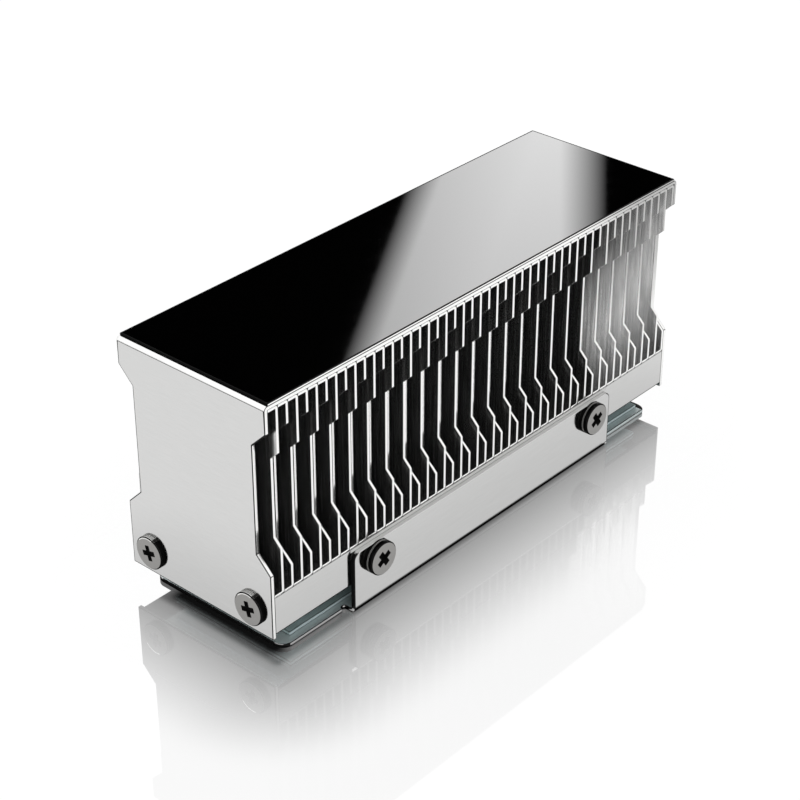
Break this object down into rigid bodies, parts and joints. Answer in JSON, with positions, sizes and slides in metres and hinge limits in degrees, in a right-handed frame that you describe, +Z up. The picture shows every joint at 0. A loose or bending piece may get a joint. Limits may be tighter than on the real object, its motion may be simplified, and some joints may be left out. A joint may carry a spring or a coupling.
{
  "type": "ssd heat sink",
  "caption": "Finned heat sink for a bare solid-state drive: a tray with thermal pads screwed under a block, folded fins stacked on it, and a folded cover with a gloss top.",
  "frame": {"origin": "centre of the footprint, on the tray's underside", "axes": "+X along the drive, towards the end plate that is far from the camera; +Y across it; +Z up"},
  "size_m": [0.079, 0.0274, 0.0355],
  "materials": {
    "fin_sheet": "bright nickel plate on aluminium sheet",
    "cover_sheet": "bright nickel plate on aluminium sheet",
    "block_metal": "bright nickel plate on a machined bar",
    "tray_sheet": "bright nickel plate on aluminium sheet",
    "gloss_panel": "polished black",
    "silicone_pad": "matt filled silicone",
    "screw_metal": "satin nickel on steel"
  },
  "bodies": {
    "root": {"fin_01": "fin_sheet", "fin_02": "fin_sheet", "fin_03": "fin_sheet", "fin_04": "fin_sheet", "fin_05": "fin_sheet", "fin_06": "fin_sheet", "fin_07": "fin_sheet", "fin_08": "fin_sheet", "fin_09": "fin_sheet", "fin_10": "fin_sheet", "fin_11": "fin_sheet", "fin_12": "fin_sheet", "fin_13": "fin_sheet", "fin_14": "fin_sheet", "fin_15": "fin_sheet", "fin_16": "fin_sheet", "fin_17": "fin_sheet", "fin_18": "fin_sheet", "fin_19": "fin_sheet", "fin_20": "fin_sheet", "fin_21": "fin_sheet", "fin_22": "fin_sheet", "fin_23": "fin_sheet", "fin_24": "fin_sheet", "fin_25": "fin_sheet", "fin_26": "fin_sheet", "fin_27": "fin_sheet", "fin_28": "fin_sheet", "fin_29": "fin_sheet", "fin_30": "fin_sheet", "fin_31": "fin_sheet", "fin_32": "fin_sheet", "fin_33": "fin_sheet", "fin_34": "fin_sheet", "fin_35": "fin_sheet", "fin_36": "fin_sheet", "fin_37": "fin_sheet", "fin_38": "fin_sheet", "fin_39": "fin_sheet", "fin_40": "fin_sheet", "fin_41": "fin_sheet", "fin_42": "fin_sheet", "fin_43": "fin_sheet", "fin_44": "fin_sheet", "fin_45": "fin_sheet", "fin_46": "fin_sheet", "fin_47": "fin_sheet", "fin_48": "fin_sheet", "cover": "cover_sheet", "top_panel": "gloss_panel", "base_block": "block_metal", "tray": "tray_sheet", "thermal_pad_lower": "silicone_pad", "thermal_pad_upper": "silicone_pad", "cover_screws": "screw_metal", "tray_screws": "screw_metal"}
  },
  "joints": []
}
